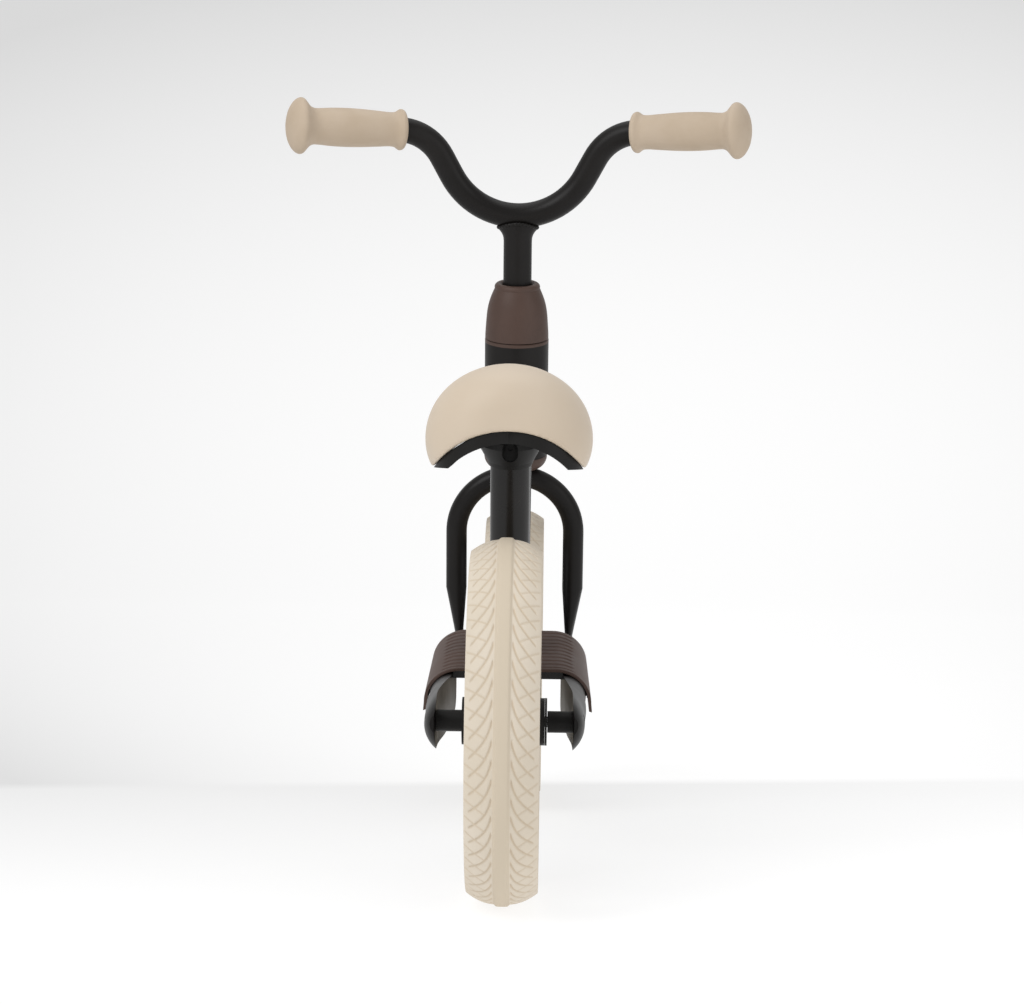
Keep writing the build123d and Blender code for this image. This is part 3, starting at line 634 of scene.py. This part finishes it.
# ---- footrest cover ------------------------------------------------------------------------
COVER_SLOPE = math.radians(13.6)
COVER_START = Vector((0, -120 * MM, 160 * MM))
COVER_RUN = 95 * MM
COVER_THICK = 2.4 * MM
COVER_HALVES = (64.8 * MM, 61.8 * MM)
COVER_CORNER = 26 * MM
COVER_DROP = 33 * MM
COVER_FLARE = 0.6 * MM
COVER_ROWS = 260
LIP_ROUND = 0.9 * MM
PLAIN_EDGE = 4 * MM
RIB_PITCH = 8.6 * MM
RIB_RISE = 0.9 * MM
RIB_REACH = 52 * MM
RIB_FADE = 1.0 * MM


def make_footrest():
    """The arched cover with its cross ribs and the slot round the seat tube."""
    ahead = Vector((0, math.cos(COVER_SLOPE), math.sin(COVER_SLOPE)))
    upward = Vector((0, -math.sin(COVER_SLOPE), math.cos(COVER_SLOPE)))
    length = COVER_RUN / math.cos(COVER_SLOPE)
    rear_half, front_half = COVER_HALVES
    side_steps, turn_steps, top_steps = 9, 22, 60

    def outline(half, offset):
        """Arch section at an offset outside the inner face, from left lip to right lip."""
        radius = COVER_CORNER + offset
        wide = half + offset
        points = []
        for share in np.linspace(0, 1, side_steps)[:-1]:
            flare = COVER_FLARE * (1 - share)
            points.append((-wide - flare, -COVER_DROP + share * (COVER_DROP - COVER_CORNER)))
        for turn in np.linspace(math.pi, math.pi / 2, turn_steps):
            x = -wide + radius + radius * math.cos(turn)
            points.append((x, offset - radius + radius * math.sin(turn)))
        flat = wide - radius
        middle = [(x, offset) for x in np.linspace(-flat, flat, top_steps)[1:-1]]
        return points + middle + [(-x, z) for x, z in points[::-1]]

    points = []
    for i in range(COVER_ROWS):
        s = length * i / (COVER_ROWS - 1)
        half = rear_half + (front_half - rear_half) * s / length
        near = min(s, length - s)
        ease = min(near / LIP_ROUND, 1.0)
        pull = 0.8 * LIP_ROUND * (1 - math.sqrt(1 - (1 - ease) ** 2))
        wave = abs((s / RIB_PITCH) % 1.0 - 0.5)
        rib = min(max(wave * 5.2 - 0.45, 0.0), 1.0)
        groove = RIB_RISE * (1 - rib * rib * (3 - 2 * rib)) * (near > PLAIN_EDGE)
        for x, z in outline(half, COVER_THICK):
            fade = min(max((RIB_REACH - abs(x)) / RIB_FADE, 0.0), 1.0)
            lift = -pull - groove * fade
            points.append(COVER_START + ahead * s + upward * (z + lift) + Vector((x, 0, 0)))
        for x, z in outline(half, 0.0)[::-1]:
            points.append(COVER_START + ahead * s + upward * z + Vector((x, 0, 0)))
    ring = len(points) // COVER_ROWS
    faces = grid_faces(COVER_ROWS, ring, close_columns=True)
    faces.append(tuple(range(ring)))
    faces.append(tuple(range((COVER_ROWS - 1) * ring, COVER_ROWS * ring)))
    obj = fix_normals(new_object("footrest_ribbed", points, faces))
    cut_slot(obj)
    cut_screw_holes(obj)
    sharpen(obj, 40)
    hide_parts("footrest_cover")
    return dress(obj, "brown_plastic", "frame")


SLOT_RADIUS = 21 * MM
SLOT_MIDDLE = -74 * MM
SLOT_AHEAD = 0.1


def cut_slot(obj):
    """Cut the U-shaped slot that clears the seat tube and the beam."""
    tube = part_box("seat_tube")
    outline = []
    for turn in np.linspace(math.pi, 2 * math.pi, 33):
        x, y = SLOT_RADIUS * math.cos(turn), SLOT_MIDDLE + SLOT_RADIUS * math.sin(turn)
        outline.append((x, y))
    outline += [(side * SLOT_RADIUS, SLOT_MIDDLE + SLOT_AHEAD) for side in (1, -1)]
    bottom, top = tube[0].z, tube[1].z
    count = len(outline)
    points = [(x, y, bottom) for x, y in outline] + [(x, y, top) for x, y in outline]
    faces = [tuple(range(count))[::-1], tuple(range(count, 2 * count))]
    for k in range(count):
        following = (k + 1) % count
        faces.append((k, following, count + following, count + k))
    subtract(obj, fix_normals(new_object("slot_cutter", points, faces, smooth=False)))


SCREW_SPOTS = ((-98.0 * MM, 141.0 * MM), (-50.0 * MM, 151.0 * MM))
SCREW_HOLE = 3.75 * MM
SCREW_SEAT = 63.58 * MM
HOLE_END = 80 * MM


def cut_screw_holes(obj):
    """Sink a round hole over each screw head, on both sides."""
    for y, z in SCREW_SPOTS:
        for side in (-1, 1):
            outline = [(0, SCREW_SEAT), (SCREW_HOLE, SCREW_SEAT)]
            outline += [(SCREW_HOLE, HOLE_END), (0, HOLE_END)]
            subtract(obj, lathe("hole_cutter", outline, (0, y, z), (side, 0, 0), 48))


def subtract(obj, cutter):
    """Take a cutter's shape out of a piece, and the cutter away."""
    modifier = obj.modifiers.new("cut", "BOOLEAN")
    modifier.operation = "DIFFERENCE"
    modifier.object = cutter
    modifier.solver = "EXACT"
    graph = bpy.context.evaluated_depsgraph_get()
    cut = bpy.data.meshes.new_from_object(obj.evaluated_get(graph))
    obj.modifiers.clear()
    obj.data = cut
    bpy.data.objects.remove(cutter)


# ---- studio --------------------------------------------------------------------------------
PAPER_EDGE = 0.37
PAPER_SKEW = 0.154
STAGE_NEAR = -4.5
STAGE_FAR = 3.4
STAGE_CURVE = 0.9
STAGE_HALF_WIDTH = 9.0
STAGE_HEIGHT = 5.0


def make_stage():
    """A pale seamless floor that curves up into a backdrop."""
    flat_end = STAGE_FAR - STAGE_CURVE
    profile = [(STAGE_NEAR, 0.0), (flat_end, 0.0)]
    for turn in np.linspace(0, math.pi / 2, 16)[1:]:
        y = flat_end + STAGE_CURVE * math.sin(turn)
        profile.append((y, STAGE_CURVE - STAGE_CURVE * math.cos(turn)))
    profile.append((STAGE_FAR, STAGE_HEIGHT))
    points = []
    for y, z in profile:
        points += [(-STAGE_HALF_WIDTH, y, z), (STAGE_HALF_WIDTH, y, z)]
    obj = new_object("studio_floor", points, grid_faces(len(profile), 2))
    obj.data.materials.append(paper())


def paper():
    """Studio paper that glows: its emission paints the studio light, brightest low in the middle, with a faint
    edge behind the bike.
    """
    surface = Surface("glowing_studio_paper", Roughness=0.9, Specular_IOR_Level=0.1)
    # A dark base under strong emission: the paper's brightness is painted light, and it washes out the bike's
    # shadows.
    surface.shader.inputs["Base Color"].default_value = (0.25, 0.25, 0.25, 1.0)
    surface.shader.inputs["Emission Color"].default_value = (1.0, 1.0, 1.0, 1.0)
    split = surface.nodes.new("ShaderNodeSeparateXYZ")
    surface.links.new(surface.coordinates.outputs["Object"], split.inputs["Vector"])

    def math_node(operation, first, second):
        node = surface.nodes.new("ShaderNodeMath")
        node.operation = operation
        for socket, value in zip(node.inputs, (first, second)):
            if isinstance(value, float):
                socket.default_value = value
            else:
                surface.links.new(value, socket)
        return node.outputs["Value"]

    x, y, z = (split.outputs[axis] for axis in "XYZ")
    reach = math_node("ADD", math_node("MULTIPLY", y, 0.507), 0.526)
    sideways = math_node("DIVIDE", math_node("SUBTRACT", x, 0.25), reach)
    upward = math_node("DIVIDE", math_node("SUBTRACT", z, 0.155), 1.07)
    spread = math_node(
        "ADD",
        math_node("MULTIPLY", sideways, sideways),
        math_node("MULTIPLY", upward, upward),
    )
    # Painted pool of light on the backdrop, fading outwards from its centre.
    glow = math_node("SUBTRACT", 0.80, math_node("MULTIPLY", spread, 0.27))
    far = math_node("MAXIMUM", glow, 0.5)
    # Painted light on the floor in front of the edge: dimmer further back.
    along = surface.ramp(y, 0.805, 0.645, -0.32, PAPER_EDGE)
    # Painted light: the near floor brighter on the right, to offset the key lamp on the left.
    near = math_node("ADD", along, surface.ramp(x, -0.07, 0.07, -0.5, 0.5))
    skewed = math_node("SUBTRACT", y, math_node("MULTIPLY", x, PAPER_SKEW))
    beyond = surface.ramp(skewed, 0.0, 1.0, PAPER_EDGE - 0.01, PAPER_EDGE + 0.03)
    strength = math_node(
        "ADD",
        math_node("MULTIPLY", beyond, far),
        math_node("MULTIPLY", math_node("SUBTRACT", 1.0, beyond), near),
    )
    surface.links.new(strength, surface.shader.inputs["Emission Strength"])
    return surface.material


def area_light(name, place, target, size, power):
    """A white rectangular softbox aimed at a point; power is in watts."""
    data = bpy.data.lights.new(name, "AREA")
    data.shape = "RECTANGLE"
    data.size, data.size_y = size
    data.energy = power
    lamp = bpy.data.objects.new(name, data)
    aim = (Vector(target) - Vector(place)).to_track_quat("-Z", "Y")
    lamp.matrix_world = Matrix.Translation(place) @ aim.to_matrix().to_4x4()
    bpy.context.scene.collection.objects.link(lamp)


def make_lights():
    """Even white surroundings, a key on the left, a weak fill and a broad top light."""
    world = bpy.data.worlds.new("studio")
    world.use_nodes = True
    world.node_tree.nodes["Background"].inputs["Color"].default_value = (1, 1, 1, 1)
    world.node_tree.nodes["Background"].inputs["Strength"].default_value = 0.46
    bpy.context.scene.world = world
    middle = (0, 0, 0.35)
    area_light("key", (-1.6, -1.7, 2.0), middle, (1.6, 1.6), 37)
    area_light("fill", (2.2, -1.6, 1.1), middle, (1.5, 1.5), 11)
    area_light("top", (0, 0.3, 2.8), middle, (2.4, 2.4), 20)
    bpy.context.scene.view_settings.view_transform = "Standard"


# ---- build ---------------------------------------------------------------------------------
make_camera()
make_stage()
make_lights()
paint_frame()
make_tyre("rear", REAR_HUB)
make_tyre("front", FRONT_HUB)
make_saddle()
make_grip(-1, "grip_left")
make_grip(1, "grip_right")
make_weld()
make_footrest()
